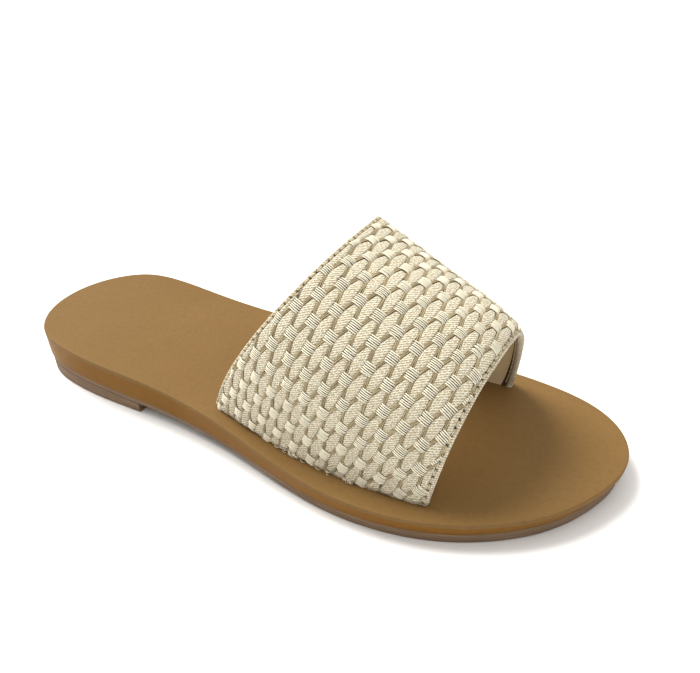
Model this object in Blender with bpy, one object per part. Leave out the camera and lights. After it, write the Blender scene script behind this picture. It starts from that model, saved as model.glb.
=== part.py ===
"""Slide sandal, right foot: a flat sole in four layers and one wide woven band.

Sizes are in millimetres on the shoe itself: x runs from the heel's back edge to the toe, y is
positive towards the inner side of the foot, z is the height above the floor. The model is in
metres, with its origin on the floor under the middle of the heel seat.
"""

import math

import bmesh
import bpy
import numpy as np

MM = 0.001
GAP = 0.3  # clearance between neighbouring pieces
HEEL_SEAT = 36.0  # from the heel's back edge to the middle of the heel seat

# Plan of the footbed's rim, one row for each place along the shoe
OUTLINE_COLUMNS = ("x", "inner_y", "outer_y")
OUTLINE = (
    (5.0, 22.0, -21.6),
    (15.0, 31.6, -31.4),
    (32.0, 34.8, -37.0),
    (58.0, 33.2, -39.0),
    (85.0, 32.4, -39.2),
    (115.0, 35.1, -42.3),
    (145.0, 40.5, -48.0),
    (170.0, 44.9, -50.6),
    (195.0, 47.2, -48.0),
    (215.0, 45.2, -39.9),
    (235.0, 37.9, -24.1),
    (246.5, 26.0, -5.5),
)
HEEL_BACK = (-1.4, -0.6)
TOE_TIP = (250.5, 10.7)
STATIONS = 44  # ribs across the sole from heel to toe
HEEL_STATIONS = 14

# Heights of the layers along the shoe, and how far the tan side leans in
HEIGHT_COLUMNS = ("x", "footbed", "rubber", "underside", "lean_in")
HEIGHTS = (
    (-2.0, 20.0, 8.60, 6.20, 0.5),
    (40.0, 18.7, 7.80, 5.40, 0.6),
    (72.0, 17.6, 6.75, 4.35, 0.9),
    (100.0, 16.3, 6.00, 3.60, 1.2),
    (120.0, 15.0, 5.45, 3.05, 1.5),
    (135.0, 13.5, 5.10, 2.40, 1.5),
    (150.0, 11.9, 4.30, 1.10, 1.5),
    (168.0, 10.3, 3.50, 0.00, 1.4),
    (185.0, 9.8, 3.60, 0.00, 1.4),
    (208.0, 9.5, 3.80, 0.00, 1.4),
    (230.0, 9.8, 4.25, 0.30, 1.6),
    (251.0, 10.3, 5.00, 0.80, 1.7),
)
COVER = 1.6  # thickness of the insole
RIM_ROUND = 0.5  # rounded upper edge of the insole
RUBBER_STEP = 0.25  # the outsole stands this far inside the midsole
RUBBER_EDGE = 0.35  # rounded lower edge of the rubber
BREAST_X = 72.4  # upright front of the heel lift

# The band's two edges: where they meet the footbed and how their arches run between
EDGE_COLUMNS = (
    "outer_x", "outer_y", "inner_x", "inner_y",
    "rise", "crown_shift", "lean", "square_outer", "square_inner", "curl", "bulge",
)
BACK_EDGE = (111.4, -35.2, 108.5, 29.8, 63.6, 16.0, 0.667, 3.5, 3.1, 1.24, 3.0)
FRONT_EDGE = (199.6, -39.4, 201.8, 38.8, 40.3, 6.2, 0.21, 2.5, 1.62, 1.0, 0.0)
BULGE_OUTER = 4.3  # the band swells sideways between its edges
BULGE_INNER = 1.1
BOW = 3.8  # and upwards, most of all behind its front edge

WALL = 2.7  # hem thickness: folded cloth on its lining
HEM_ROUND = 0.7
GROOVE = -0.75  # floor between the strips, against the hem's face
PUFF = 0.55  # top of a woven pad
BAR = 0.35  # top of the short cross bar between two pads
STITCH_DIP = -0.35
COLUMN_START = 0.0283  # back side of the first strip, as a share of the band's width
COLUMN_PITCH = 0.0571
COLUMNS = 16
PERIOD = 14.4  # from bar to bar along a strip
BAR_PHASE = 2.0
ROWS_PER_PERIOD = 8
ARCH_SAMPLES = 241
LINING_COLUMNS = 8
LINING_ROWS = 28
BASE_FADE = 2.0  # the relief dies out this far above the footbed

TAN = (0.386, 0.226, 0.092)
TAN_SIDE = (0.262, 0.141, 0.050)
TAUPE = (0.235, 0.170, 0.120)
CREAM = (0.722, 0.655, 0.508)


def column(table, columns, name):
    return np.array([row[columns.index(name)] for row in table])


def along(name, x):
    """Value of one column of the height table at x, on a smooth curve with no overshoot."""
    xs = column(HEIGHTS, HEIGHT_COLUMNS, "x")
    ys = column(HEIGHTS, HEIGHT_COLUMNS, name)
    step = np.diff(xs)
    rate = np.diff(ys) / step
    slope = np.zeros(len(xs))
    slope[0] = rate[0]
    slope[-1] = rate[-1]
    for i in range(1, len(xs) - 1):
        if rate[i - 1] * rate[i] > 0:
            slope[i] = 2 * rate[i - 1] * rate[i] / (rate[i - 1] + rate[i])
    x = np.clip(np.asarray(x, float), xs[0], xs[-1])
    i = np.clip(np.searchsorted(xs, x) - 1, 0, len(xs) - 2)
    t = (x - xs[i]) / step[i]
    start = (1 + 2 * t) * (1 - t) ** 2 * ys[i] + t * (1 - t) ** 2 * step[i] * slope[i]
    end = t * t * (3 - 2 * t) * ys[i + 1] + t * t * (t - 1) * step[i] * slope[i + 1]
    return start + end


def smooth_loop(points, steps=24):
    """Closed cubic spline through the points, sampled steps times between each two."""
    points = np.array(points)
    count = len(points)
    length = np.linalg.norm(np.roll(points, -1, axis=0) - points, axis=1)
    before = np.roll(length, 1)
    matrix = np.zeros((count, count))
    right = np.zeros((count, 2))
    for i in range(count):
        ahead = (points[(i + 1) % count] - points[i]) / length[i]
        behind = (points[i] - points[i - 1]) / before[i]
        matrix[i, i - 1] += before[i]
        matrix[i, i] += 2 * (before[i] + length[i])
        matrix[i, (i + 1) % count] += length[i]
        right[i] = 6 * (ahead - behind)
    bend = np.linalg.solve(matrix, right)
    loop = []
    for i in range(count):
        j = (i + 1) % count
        for t in np.arange(steps) / steps:
            a = 1 - t
            sag = ((a ** 3 - a) * bend[i] + (t ** 3 - t) * bend[j]) * length[i] ** 2 / 6
            loop.append(a * points[i] + t * points[j] + sag)
    return np.array(loop)


def sole_plan():
    """The rim's two sides from heel to toe, as x, y and outward normal along each."""
    x = column(OUTLINE, OUTLINE_COLUMNS, "x")
    inner = list(zip(x, column(OUTLINE, OUTLINE_COLUMNS, "inner_y")))
    outer = list(zip(x, column(OUTLINE, OUTLINE_COLUMNS, "outer_y")))
    loop = smooth_loop([HEEL_BACK] + inner + [TOE_TIP] + outer[::-1])
    loop = np.roll(loop, -int(np.argmin(loop[:, 0])), axis=0)
    tangent = np.roll(loop, -1, axis=0) - np.roll(loop, 1, axis=0)
    normal = np.column_stack([-tangent[:, 1], tangent[:, 0]])
    normal /= np.linalg.norm(normal, axis=1)[:, None]
    rim = np.column_stack([loop, normal])
    toe = int(np.argmax(loop[:, 0]))
    return rim[:toe + 1], np.vstack([rim[:1], rim[toe:][::-1]])


INNER_SIDE, OUTER_SIDE = sole_plan()


def rib_points(stations):
    """Rim points at the stations: down the inner side to the toe and back up the outer side."""
    inner = [[np.interp(x, INNER_SIDE[:, 0], INNER_SIDE[:, i]) for i in range(4)] for x in stations]
    outer = [[np.interp(x, OUTER_SIDE[:, 0], OUTER_SIDE[:, i]) for i in range(4)] for x in stations]
    return np.array(inner), np.array(outer)


def ring(stations, inset, height):
    """One level of a sole layer: the rim moved inwards by inset(x), at height(x)."""
    inner, outer = rib_points(stations)
    has_toe = stations[-1] > INNER_SIDE[-1, 0] - 0.001
    last = len(stations) - 1 if has_toe else len(stations)
    path = np.vstack([inner, outer[1:last][::-1]])
    x, y = (path[:, :2] - path[:, 2:] * inset(path[:, 0])[:, None]).T
    if not has_toe:
        x = np.minimum(x, stations[-1])
    return np.column_stack([x, y, height(x)])


def cap_faces(start, count, has_toe, upwards):
    """Ribs across a ring: a triangle at each pointed end and four-sided strips between."""
    faces = [(0, 1, count - 1)]
    near, far = 1, count - 1
    while far - near > (2 if has_toe else 1):
        faces.append((near, near + 1, far - 1, far))
        near += 1
        far -= 1
    if has_toe:
        faces.append((near, near + 1, far))
    if upwards:
        faces = [face[::-1] for face in faces]
    return [tuple(start + i for i in face) for face in faces]


def add_mesh(name, points, faces, collection):
    mesh = bpy.data.meshes.new(name)
    place = (np.asarray(points) - (HEEL_SEAT, 0.0, 0.0)) * MM
    mesh.from_pydata(place.tolist(), [], faces)
    mesh.validate()
    body = bmesh.new()
    body.from_mesh(mesh)
    bmesh.ops.remove_doubles(body, verts=body.verts, dist=0.00001)
    bmesh.ops.recalc_face_normals(body, faces=body.faces)
    body.to_mesh(mesh)
    body.free()
    mesh.shade_smooth()
    mesh.set_sharp_from_angle(angle=math.radians(35))
    piece = bpy.data.objects.new(name, mesh)
    collection.objects.link(piece)
    return piece


def add_layer(name, stations, levels, collection):
    """A sole layer through its levels, listed from the top down as (inset, height)."""
    rings = [ring(stations, inset, height) for inset, height in levels]
    count = len(rings[0])
    has_toe = stations[-1] > INNER_SIDE[-1, 0] - 0.001
    faces = cap_faces(0, count, has_toe, True)
    for k in range(len(rings) - 1):
        for i in range(count):
            j = (i + 1) % count
            faces.append((k * count + i, (k + 1) * count + i, (k + 1) * count + j, k * count + j))
    faces += cap_faces((len(rings) - 1) * count, count, has_toe, False)
    return add_mesh(name, np.vstack(rings), faces, collection)


def spread(first, last, count, both_ends):
    """Stations that crowd towards the round ends of the sole."""
    turn = math.pi if both_ends else math.pi / 2
    share = [(1 - math.cos(turn * k / count)) for k in range(count + 1)]
    return [first + (last - first) * s / share[-1] for s in share]


def level(height_name, below=0.0, lean_share=0.0, extra=0.0):
    """A level at so far below a height column, leaned in by a share of the side's lean."""
    inset = lambda x: lean_share * along("lean_in", x) + extra
    height = lambda x: along(height_name, x) - below
    return inset, height


def build_sole(collection):
    heel = INNER_SIDE[0, 0]
    toe = INNER_SIDE[-1, 0]
    whole = spread(heel, toe, STATIONS, True)
    insole = add_layer("insole", whole, (
        level("footbed", 0.0, extra=RIM_ROUND),
        level("footbed", RIM_ROUND * 0.7, extra=RIM_ROUND * 0.12),
        level("footbed", COVER, 0.12),
    ), collection)
    add_layer("midsole", whole, (
        level("footbed", COVER + GAP, 0.15),
        level("rubber", -GAP - RIM_ROUND, 0.92),
        level("rubber", -GAP, 1.0, RUBBER_EDGE * 0.4),
    ), collection)
    add_layer("outsole", whole, (
        level("rubber", 0.0, 1.0, RUBBER_STEP),
        level("underside", -RUBBER_EDGE, 1.0, RUBBER_STEP + 0.2),
        level("underside", 0.0, 1.0, RUBBER_STEP + 0.2 + RUBBER_EDGE),
    ), collection)
    floor_level = lambda rise: (lambda x: np.full(np.shape(x), rise))
    add_layer("heel_lift", spread(heel, BREAST_X, HEEL_STATIONS, False), (
        level("underside", GAP, 1.0, RUBBER_STEP + 0.2),
        (level("underside", 0.0, 1.0, RUBBER_STEP + 0.3)[0], floor_level(RUBBER_EDGE)),
        (level("underside", 0.0, 1.0, RUBBER_STEP + 0.3 + RUBBER_EDGE)[0], floor_level(0.0)),
    ), collection)
    return insole


def edge_arch(edge, t):
    """Foot line, side place, rise and forward lean of one edge, t from outer to inner side."""
    size = dict(zip(EDGE_COLUMNS, edge))
    y = size["outer_y"] + (size["inner_y"] - size["outer_y"]) * (1 - np.cos(math.pi * t)) / 2
    crown = (size["outer_y"] + size["inner_y"]) / 2 + size["crown_shift"]
    outside = y < crown
    reach = np.where(outside, crown - y, y - crown)
    reach /= np.where(outside, crown - size["outer_y"], size["inner_y"] - crown)
    square = np.where(outside, size["square_outer"], size["square_inner"])
    climb = np.clip(1 - np.clip(reach, 0, 1) ** square, 0, 1) ** (1 / square)
    share = (y - size["outer_y"]) / (size["inner_y"] - size["outer_y"])
    foot_x = size["outer_x"] + (size["inner_x"] - size["outer_x"]) * share
    side = y - size["bulge"] * np.sin(math.pi * climb) * outside
    return foot_x, side, size["rise"] * climb, size["lean"] * size["rise"] * climb ** size["curl"]


def band_arch(u, t):
    """Points of the band's face on the arch at share u of its width, from back to front."""
    back_x, back_y, back_rise, back_lean = edge_arch(BACK_EDGE, t)
    front_x, front_y, front_rise, front_lean = edge_arch(FRONT_EDGE, t)
    swell = (4 * u * (1 - u)) ** 0.8
    foot_x = back_x * (1 - u) + front_x * u
    bow = BOW * swell * 2 * u * np.sin(math.pi * t ** 1.14)
    rise = back_rise * (1 - u) + front_rise * u + bow
    side = (1 + np.cos(math.pi * t)) / 2
    y = back_y * (1 - u) + front_y * u + swell * (BULGE_INNER * (1 - side) - BULGE_OUTER * side)
    x = foot_x + back_lean * (1 - u) + front_lean * u + 0.44 * bow
    return np.column_stack([x, y, along("footbed", foot_x) + rise])


def arch_line(u):
    """An arch with its normals and its distance from the middle of the arch, outer side first."""
    t = np.linspace(0, 1, ARCH_SAMPLES)
    points = band_arch(u, t)
    width = band_arch(min(u + 0.01, 1), t) - band_arch(max(u - 0.01, 0), t)
    normal = np.cross(np.gradient(points, axis=0), width)
    normal /= np.linalg.norm(normal, axis=1)[:, None]
    if normal[len(t) // 2, 2] < 0:
        normal = -normal
    run = np.r_[0, np.cumsum(np.linalg.norm(np.diff(points, axis=0), axis=1))]
    return points, normal, run - run[-1] / 2


def on_arch(line, place, lift):
    """The point at a distance from the arch's middle, raised by lift from the band's face."""
    points, normal, run = line
    spot = np.array([np.interp(place, run, points[:, i]) for i in range(3)])
    out = np.array([np.interp(place, run, normal[:, i]) for i in range(3)])
    return spot + out / np.linalg.norm(out) * lift


def strip_lift(row, odd):
    """Height on the crest of a strip, a bar and a pad in turn, rows counted from a bar."""
    away = (row + (ROWS_PER_PERIOD // 2 if odd else 0)) % ROWS_PER_PERIOD
    away = min(away, ROWS_PER_PERIOD - away)
    pad = GROOVE + (PUFF - GROOVE) * (1, 1, 0.8, 0.96, 1)[away]
    return (BAR, GROOVE + 0.15, pad, pad, pad)[away]


def weave_lines():
    """Lines along the band's arches as (share of width, kind): hems, grooves and crests."""
    lines = [(0.0, "edge"), (0.007, "hem"), (0.014, "hem"), (0.022, "stitch")]
    for k in range(COLUMNS):
        lines.append((COLUMN_START + (k + 0.5) * COLUMN_PITCH, "crest%d" % (k + 1)))
        lines.append((COLUMN_START + (k + 1) * COLUMN_PITCH, "groove"))
    lines += [(0.957, "crest%d" % (COLUMNS + 1)), (0.970, "stitch")]
    return lines + [(0.980, "hem"), (0.992, "hem"), (1.0, "edge")]


def line_lift(kind, row):
    if kind.startswith("crest"):
        return strip_lift(row, int(kind[5:]) % 2 == 1)
    return {"edge": -HEM_ROUND, "hem": 0.0, "stitch": STITCH_DIP, "groove": GROOVE}[kind]


def zip_strip(first, second):
    """Triangles between two runs of points that have different counts."""
    faces = []
    i = j = 0
    while i < len(first) - 1 or j < len(second) - 1:
        ahead_first = (i + 1) / (len(first) - 1)
        ahead_second = (j + 1) / (len(second) - 1)
        if i < len(first) - 1 and (ahead_first <= ahead_second or j == len(second) - 1):
            faces.append((first[i], first[i + 1], second[j]))
            i += 1
        else:
            faces.append((first[i], second[j + 1], second[j]))
            j += 1
    return faces


def build_band(collection):
    """One wall: woven face, lining face, two hemmed edges and two ends in the footbed's slots."""
    points = []

    def add(point):
        points.append(point)
        return len(points) - 1

    def add_foot(spot):
        floor = along("footbed", spot[0]) - COVER
        return add(np.array([spot[0], spot[1], floor]))

    step = PERIOD / ROWS_PER_PERIOD
    woven = []
    for u, kind in weave_lines():
        line = arch_line(u)
        half = line[2][-1]
        first = round((-half + BAR_PHASE) / step)
        last = round((half + BAR_PHASE) / step)
        strip = {}
        for row in range(first, last + 1):
            place = row * step - BAR_PHASE
            if row == first:
                place = -half
            if row == last:
                place = half
            fade = min(1.0, (half - abs(place)) / BASE_FADE)
            strip[row] = add(on_arch(line, place, line_lift(kind, row) * fade))
        strip[first - 1] = add_foot(points[strip[first]])
        strip[last + 1] = add_foot(points[strip[last]])
        woven.append(strip)
    lining = []
    for k in range(LINING_COLUMNS + 1):
        line = arch_line(k / LINING_COLUMNS)
        half = line[2][-1]
        places = np.linspace(-half, half, LINING_ROWS + 1)
        strip = [add(on_arch(line, place, -WALL)) for place in places]
        lining.append([add_foot(points[strip[0]])] + strip + [add_foot(points[strip[-1]])])

    faces = []
    for near, far in zip(woven, woven[1:]):
        low = min(min(near), min(far))
        high = max(max(near), max(far))
        for row in range(low, high):
            corners = []
            for strip, k in ((near, row), (near, row + 1), (far, row + 1), (far, row)):
                corner = strip[min(max(k, min(strip)), max(strip))]
                if corner not in corners:
                    corners.append(corner)
            if len(corners) > 2:
                faces.append(tuple(corners))
    for near, far in zip(lining, lining[1:]):
        for i in range(len(near) - 1):
            faces.append((near[i], far[i], far[i + 1], near[i + 1]))
    for strip, liner in ((woven[0], lining[0]), (woven[-1], lining[-1])):
        run = [strip[row] for row in sorted(strip)]
        faces.append((run[0], run[1], liner[1], liner[0]))
        faces += zip_strip(run[1:-1], liner[1:-1])
        faces.append((run[-2], run[-1], liner[-1], liner[-2]))
    for end in (min, max):
        run = [strip[end(strip)] for strip in woven]
        liner = [strip[0 if end is min else -1] for strip in lining]
        faces += zip_strip(run, liner)
    return add_mesh("upper_band", points, faces, collection)


def slot_cutter(name, end, collection):
    """A prism around one foot of the band, a gap wider than the wall on every side."""
    shares = np.linspace(0, 1, 2 * LINING_COLUMNS + 1)
    spots = [arch_line(u)[0][end] for u in shares]
    outs = [arch_line(u)[1][end] for u in shares]
    away = np.array([[out[0], out[1]] for out in outs])
    away /= np.linalg.norm(away, axis=1)[:, None]
    foot = np.array([[spot[0], spot[1]] for spot in spots])
    past = np.zeros(len(foot))
    past[0], past[-1] = -GAP, GAP
    foot[:, 0] += past
    outside = foot + away * GAP
    inside = foot - away * (WALL + GAP)
    plan = np.vstack([outside, inside[::-1]])
    count = len(plan)
    top = np.column_stack([plan, np.full(count, 30.0)])
    bottom = np.column_stack([plan, np.full(count, 2.0)])
    half = count // 2
    faces = []
    for i in range(half - 1):
        faces.append((i, i + 1, count - 2 - i, count - 1 - i))
        faces.append((count + count - 1 - i, count + count - 2 - i, count + i + 1, count + i))
    for i in range(count):
        j = (i + 1) % count
        faces.append((i, count + i, count + j, j))
    cutter = add_mesh(name, np.vstack([top, bottom]), faces, collection)
    cutter.hide_render = True
    cutter.display_type = "WIRE"
    return cutter


def finish(piece, name, color, roughness):
    material = bpy.data.materials.new(name)
    material.use_nodes = True
    shader = material.node_tree.nodes["Principled BSDF"]
    shader.inputs["Base Color"].default_value = (*color, 1)
    shader.inputs["Roughness"].default_value = roughness
    piece.data.materials.append(material)


def build_sandal():
    for old in list(bpy.data.objects):
        bpy.data.objects.remove(old, do_unlink=True)
    parts = bpy.data.collections.new("slide_sandal")
    cutters = bpy.data.collections.new("cutters")
    bpy.context.scene.collection.children.link(parts)
    bpy.context.scene.collection.children.link(cutters)

    insole = build_sole(parts)
    build_band(parts)
    for side, end in (("outer", 0), ("inner", -1)):
        cut = insole.modifiers.new("slot_" + side, "BOOLEAN")
        cut.operation = "DIFFERENCE"
        cut.object = slot_cutter("slot_" + side, end, cutters)

    finish(parts.objects["insole"], "footbed_cover", TAN, 0.55)
    finish(parts.objects["midsole"], "footbed_side", TAN_SIDE, 0.5)
    finish(parts.objects["outsole"], "sole_rubber", TAUPE, 0.6)
    finish(parts.objects["heel_lift"], "heel_rubber", TAUPE, 0.6)
    finish(parts.objects["upper_band"], "woven_cotton", CREAM, 0.85)


build_sandal()
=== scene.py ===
# Looks of a right-foot slide sandal: woven band, lining, tan footbed and taupe rubber.
# Sizes in the tables are millimetres on the shoe: x from the heel's back edge to the toe,
# y positive to the inner side of the foot, z up from the floor. Meshes are made in metres.
import math

import bmesh
import bpy
import numpy as np
from mathutils import Matrix, Vector


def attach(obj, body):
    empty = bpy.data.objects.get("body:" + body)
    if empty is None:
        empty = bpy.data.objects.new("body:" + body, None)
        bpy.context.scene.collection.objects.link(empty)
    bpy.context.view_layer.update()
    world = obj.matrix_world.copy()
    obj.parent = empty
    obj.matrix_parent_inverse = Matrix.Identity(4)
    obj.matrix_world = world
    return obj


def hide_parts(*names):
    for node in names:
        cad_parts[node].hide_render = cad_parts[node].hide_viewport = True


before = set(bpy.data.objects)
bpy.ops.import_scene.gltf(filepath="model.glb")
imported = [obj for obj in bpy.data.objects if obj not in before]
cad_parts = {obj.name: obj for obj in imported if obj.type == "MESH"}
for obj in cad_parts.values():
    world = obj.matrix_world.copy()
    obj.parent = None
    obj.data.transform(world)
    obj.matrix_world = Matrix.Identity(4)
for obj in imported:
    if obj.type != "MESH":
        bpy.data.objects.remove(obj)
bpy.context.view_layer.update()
mm = 0.001
print("frame loaded")


# small helpers

def feed(tree, plug, value):
    # a link where the value is another node's socket, else the plain value
    if isinstance(value, bpy.types.NodeSocket):
        tree.links.new(value, plug)
    else:
        plug.default_value = (*value, 1) if plug.type == "RGBA" else value


def put(tree, kind, sockets=None, **settings):
    node = tree.nodes.new(kind)
    for key, value in settings.items():
        setattr(node, key, value)
    for key, value in (sockets or {}).items():
        feed(tree, node.inputs[key], value)
    return node


def socketsOf(group, ins, outs):
    for name, kind, value in ins:
        plug = group.interface.new_socket(name=name, in_out="INPUT", socket_type="NodeSocket" + kind)
        if value is not None:
            plug.default_value = value
    for name, kind in outs:
        group.interface.new_socket(name=name, in_out="OUTPUT", socket_type="NodeSocket" + kind)
    return group.nodes.new("NodeGroupInput"), group.nodes.new("NodeGroupOutput")


def toMetres(points):
    return (np.asarray(points, float) - (footbed["heelSeat"], 0, 0)) * mm


def unit(vectors):
    return vectors / np.linalg.norm(vectors, axis=-1)[..., None]


def addObject(name, data):
    made = bpy.data.objects.new(name, data)
    bpy.context.scene.collection.objects.link(made)
    return made


def meshPiece(name, points, faces, smoothAngle=40):
    mesh = bpy.data.meshes.new(name)
    mesh.from_pydata(toMetres(points).tolist(), [], faces)
    body = bmesh.new()
    body.from_mesh(mesh)
    bmesh.ops.remove_doubles(body, verts=body.verts, dist=1e-7)
    bmesh.ops.recalc_face_normals(body, faces=body.faces)
    body.to_mesh(mesh)
    body.free()
    mesh.shade_smooth()
    if smoothAngle:
        mesh.set_sharp_from_angle(angle=math.radians(smoothAngle))
    return addObject(name, mesh)


def mixColor(tree, factor, a, b):
    node = put(tree, "ShaderNodeMix", data_type="RGBA")
    for plug, value in ((0, factor), (6, a), (7, b)):
        feed(tree, node.inputs[plug], value)
    return node.outputs[2]


def calc(tree, operation, a, b=0.0, clamp=False):
    return put(tree, "ShaderNodeMath", {0: a, 1: b}, operation=operation, use_clamp=clamp).outputs[0]


def ramp(tree, value, low, high):
    node = put(tree, "ShaderNodeMapRange", {"Value": value, "From Min": low, "From Max": high})
    return node.outputs[0]


def attribute(tree, name):
    return put(tree, "ShaderNodeAttribute", attribute_name=name).outputs["Fac"]


# shader groups that several materials share

# shares of each grain in the height, and the twill's lines on 10 mm of cloth
clothLook = {"grain": 0.55, "fibre": 0.45, "twill": 0.22, "twillLines": 9.5}
hideLook = {"pebble": 0.6, "crease": 0.8, "creaseSize": 0.35}


def makeClothGrain():
    # short plump grains in rows, as plain-woven yarn shows from a step away
    group = bpy.data.node_groups.new("clothGrain", "ShaderNodeTree")
    ins, outs = socketsOf(group, (
        ("Vector", "Vector", None), ("Across", "Float", 20.0), ("Along", "Float", 12.0),
        ("Order", "Float", 0.35)),
        (("Height", "Float"), ("Shade", "Float")))
    size = put(group, "ShaderNodeCombineXYZ", {0: ins.outputs["Across"], 1: ins.outputs["Along"], 2: 1.0})
    place = put(group, "ShaderNodeVectorMath", {0: ins.outputs["Vector"], 1: size.outputs[0]},
                operation="MULTIPLY")
    grains = put(group, "ShaderNodeTexVoronoi",
                 {"Vector": place.outputs[0], "Scale": 1.0, "Randomness": ins.outputs["Order"]})
    grains.voronoi_dimensions = "2D"
    dome = ramp(group, grains.outputs["Distance"], 0.75, 0.05)
    fibre = put(group, "ShaderNodeTexNoise", {"Vector": place.outputs[0], "Scale": 1.7, "Detail": 4.0})
    # the slanting lines of the twill
    apart = put(group, "ShaderNodeSeparateXYZ", {0: ins.outputs["Vector"]})
    slant = calc(group, "SUBTRACT", apart.outputs[0], apart.outputs[1])
    twill = calc(group, "SINE", calc(group, "MULTIPLY", slant, 2 * math.pi * clothLook["twillLines"]))
    height = calc(group, "ADD", calc(group, "MULTIPLY", dome, clothLook["grain"]),
                  calc(group, "MULTIPLY", fibre.outputs["Fac"], clothLook["fibre"]))
    height = calc(group, "ADD", height, calc(group, "MULTIPLY", twill, clothLook["twill"]))
    group.links.new(height, outs.inputs["Height"])
    # Shade is 0 in the grain's dips and 1 on its tops; the cloth paints its dips darker with it, as painted
    # shade
    group.links.new(ramp(group, height, 0.38, 0.66), outs.inputs["Shade"])
    return group


def makeHideGrain():
    # fine pebbled grain of coated leather with soft cloudy variation
    group = bpy.data.node_groups.new("hideGrain", "ShaderNodeTree")
    ins, outs = socketsOf(group, (
        ("Vector", "Vector", None), ("Pebble", "Float", 1500.0), ("Cloud", "Float", 22.0)),
        (("Height", "Float"), ("Clouds", "Float"), ("Pores", "Float")))
    pebble = put(group, "ShaderNodeTexVoronoi",
                 {"Vector": ins.outputs["Vector"], "Scale": ins.outputs["Pebble"], "Randomness": 1.0},
                 feature="SMOOTH_F1")
    creases = calc(group, "MULTIPLY", ins.outputs["Pebble"], hideLook["creaseSize"])
    crease = put(group, "ShaderNodeTexNoise",
                 {"Vector": ins.outputs["Vector"], "Scale": creases, "Detail": 5.0, "Roughness": 0.65})
    cloud = put(group, "ShaderNodeTexNoise",
                {"Vector": ins.outputs["Vector"], "Scale": ins.outputs["Cloud"], "Detail": 4.0})
    height = calc(group, "ADD", calc(group, "MULTIPLY", pebble.outputs["Distance"], hideLook["pebble"]),
                  calc(group, "MULTIPLY", crease.outputs["Fac"], hideLook["crease"]))
    group.links.new(height, outs.inputs["Height"])
    group.links.new(ramp(group, cloud.outputs["Fac"], 0.32, 0.68), outs.inputs["Clouds"])
    # darker where the creases lie low in the bump, for painted shade in the creases
    group.links.new(ramp(group, crease.outputs["Fac"], 0.55, 0.3), outs.inputs["Pores"])
    return group


clothGrain = makeClothGrain()
hideGrain = makeHideGrain()


def newMaterial(name, roughness, sheen=0.0, specular=0.5):
    material = bpy.data.materials.new(name)
    material.use_nodes = True
    tree = material.node_tree
    shader = tree.nodes["Principled BSDF"]
    shader.inputs["Roughness"].default_value = roughness
    shader.inputs["Sheen Weight"].default_value = sheen
    shader.inputs["Specular IOR Level"].default_value = specular
    return material, tree, shader


def groupNode(tree, group, sockets):
    return put(tree, "ShaderNodeGroup", sockets, node_tree=group)


def bump(tree, shader, height, distance, strength):
    node = put(tree, "ShaderNodeBump", {"Height": height, "Distance": distance, "Strength": strength})
    tree.links.new(node.outputs[0], shader.inputs["Normal"])


# the sole's plan and heights

footbed = {
    "heelSeat": 36.0,  # x of the middle of the heel seat, over the frame's origin
    "heelBack": (-1.4, -0.6),
    "toeTip": (250.5, 10.7),
    "outlineColumns": ("x", "inner", "outer"),
    "outline": (
        (5.0, 22.0, -21.6), (15.0, 31.6, -31.4), (32.0, 34.8, -37.0), (58.0, 33.2, -39.0),
        (85.0, 32.4, -39.2), (115.0, 35.1, -42.3), (145.0, 40.5, -48.0), (170.0, 44.9, -50.6),
        (195.0, 47.2, -48.0), (215.0, 45.2, -39.9), (235.0, 37.9, -24.1), (246.5, 26.0, -5.5)),
    "heightColumns": ("x", "top", "rubber", "underside", "leanIn"),
    "heights": (
        (-2.0, 20.0, 8.60, 6.20, 0.5), (40.0, 18.7, 7.80, 5.40, 0.6), (72.0, 17.6, 6.75, 4.35, 0.9),
        (100.0, 16.3, 6.00, 3.60, 1.2), (120.0, 15.0, 5.45, 3.05, 1.5), (135.0, 13.5, 5.10, 2.40, 1.5),
        (150.0, 11.9, 4.30, 1.10, 1.5), (168.0, 10.3, 3.50, 0.00, 1.4), (185.0, 9.8, 3.60, 0.00, 1.4),
        (208.0, 9.5, 3.80, 0.00, 1.4), (230.0, 9.8, 4.25, 0.30, 1.6), (251.0, 10.3, 5.00, 0.80, 1.7)),
    "stations": 150, "heelStations": 50,
    "rim": 0.55,  # rounded upper edge
    "cover": 1.6,  # thickness of the insole
    "overCover": 0.02,  # between the insole and the body under it
    "rubberStep": 0.25,  # how far the rubber stands in from the body
    "heelStep": 0.1,  # and the heel's foot from the rubber
    "rubberEdge": 0.4,  # rounded lower edge
    "breast": 72.4,
    "capInset": 3.0, "floorInset": 4.0,  # where a layer's flat middle starts
}


def tableColumn(rows, columns, name):
    return np.array([row[columns.index(name)] for row in rows])


def alongShoe(name, x):
    xs = tableColumn(footbed["heights"], footbed["heightColumns"], "x")
    ys = tableColumn(footbed["heights"], footbed["heightColumns"], name)
    step = np.diff(xs)
    rate = np.diff(ys) / step
    slope = np.r_[rate[0], np.zeros(len(xs) - 2), rate[-1]]
    for i in range(1, len(xs) - 1):
        if rate[i - 1] * rate[i] > 0:
            slope[i] = 2 * rate[i - 1] * rate[i] / (rate[i - 1] + rate[i])
    x = np.clip(np.asarray(x, float), xs[0], xs[-1])
    i = np.clip(np.searchsorted(xs, x) - 1, 0, len(xs) - 2)
    t = (x - xs[i]) / step[i]
    start = (1 + 2 * t) * (1 - t) ** 2 * ys[i] + t * (1 - t) ** 2 * step[i] * slope[i]
    end = t * t * (3 - 2 * t) * ys[i + 1] + t * t * (t - 1) * step[i] * slope[i + 1]
    return start + end


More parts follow.
